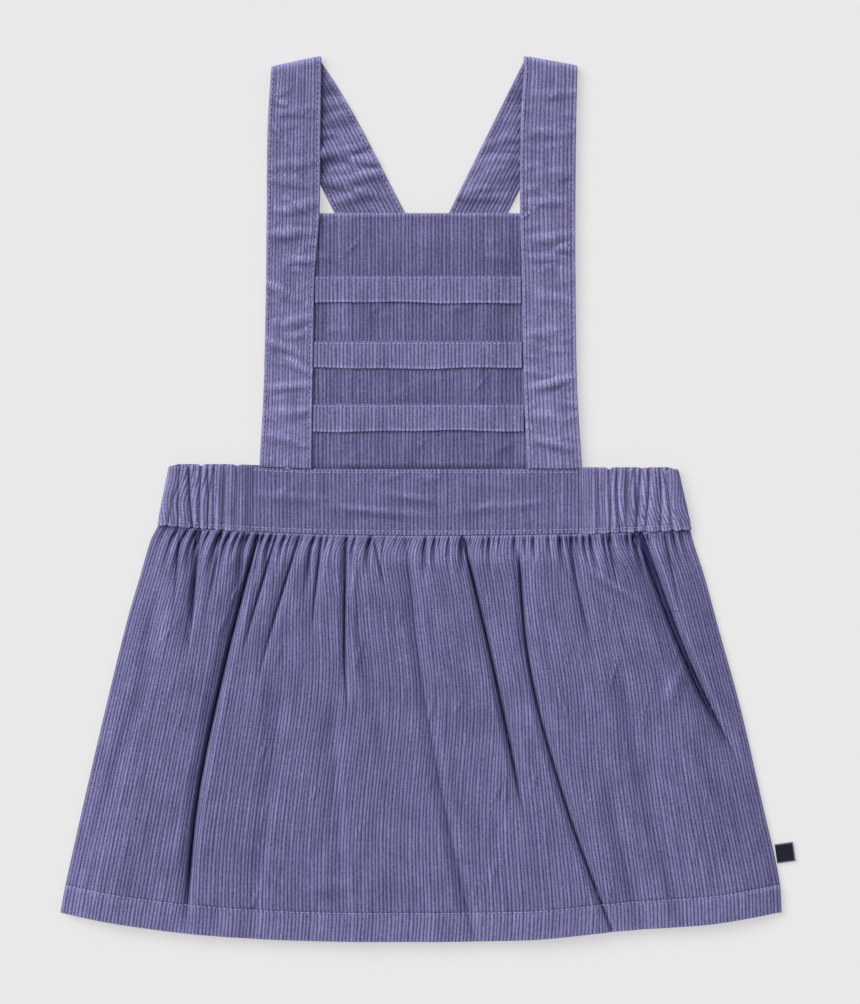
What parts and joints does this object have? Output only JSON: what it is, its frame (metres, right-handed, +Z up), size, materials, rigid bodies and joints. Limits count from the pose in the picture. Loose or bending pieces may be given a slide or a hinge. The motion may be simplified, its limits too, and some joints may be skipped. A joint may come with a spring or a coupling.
{
  "type": "corduroy pinafore dress",
  "caption": "Child's corduroy pinafore dress laid flat: gathered skirt, part-elasticated waistband, bib with pressed tucks, wide straps folded over at the shoulders and crossed behind.",
  "frame": {"origin": "on the surface that the dress lies on, under the middle of the waistband", "axes": "+X to the right of the front as it is seen, +Y from the hem up to the straps, +Z up off the surface"},
  "size_m": [0.3682, 0.4434, 0.0106],
  "materials": {
    "corduroy": "lavender cotton corduroy, 14 wales to the inch, matt with a soft nap",
    "thread": "pale lavender polyester topstitching thread",
    "label_satin": "navy woven satin label, plain"
  },
  "bodies": {
    "root": {"skirt_front": "corduroy", "skirt_back": "corduroy", "waistband_front": "corduroy", "waistband_back": "corduroy", "bib": "corduroy", "tuck_1": "corduroy", "tuck_2": "corduroy", "tuck_3": "corduroy", "strap_left": "corduroy", "strap_right": "corduroy", "label": "label_satin"}
  },
  "joints": []
}
